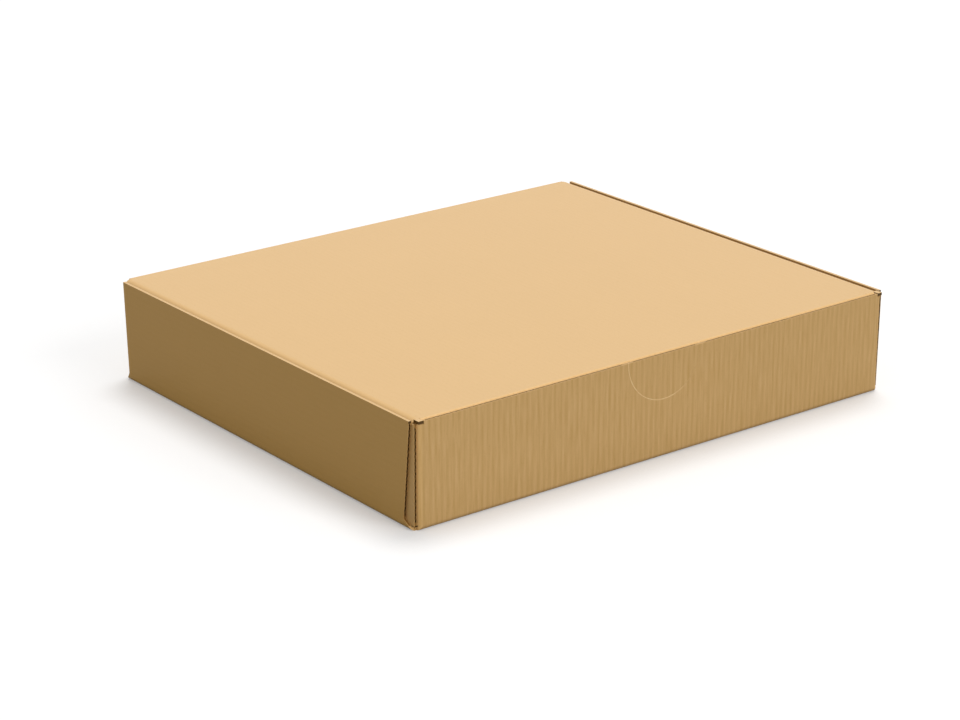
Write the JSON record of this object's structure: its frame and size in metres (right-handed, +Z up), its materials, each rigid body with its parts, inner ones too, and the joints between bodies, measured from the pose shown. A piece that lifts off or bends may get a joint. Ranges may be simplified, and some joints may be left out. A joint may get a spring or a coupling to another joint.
{
  "type": "hinged-lid mailing box",
  "caption": "Flat corrugated mailing box with a hinged lid that tucks in all round, side walls with slanted ends and a half-round thumb tab in the front wall.",
  "frame": {"origin": "on the floor, under the middle of the box's footprint", "axes": "+X along the front wall to the right, the front wall faces -Y, +Z up out of the lid"},
  "size_m": [0.3066, 0.261, 0.055],
  "materials": {
    "board": "matte"
  },
  "bodies": {
    "tray": {"tray": "board"},
    "lid": {"lid": "board"}
  },
  "joints": [
    {"name": "lid_hinge", "type": "hinge", "parent": "tray", "child": "lid", "pos_m": [0, 0.1305, 0.055], "axis": [-1, 0, 0], "range_deg": [0, 180]}
  ]
}
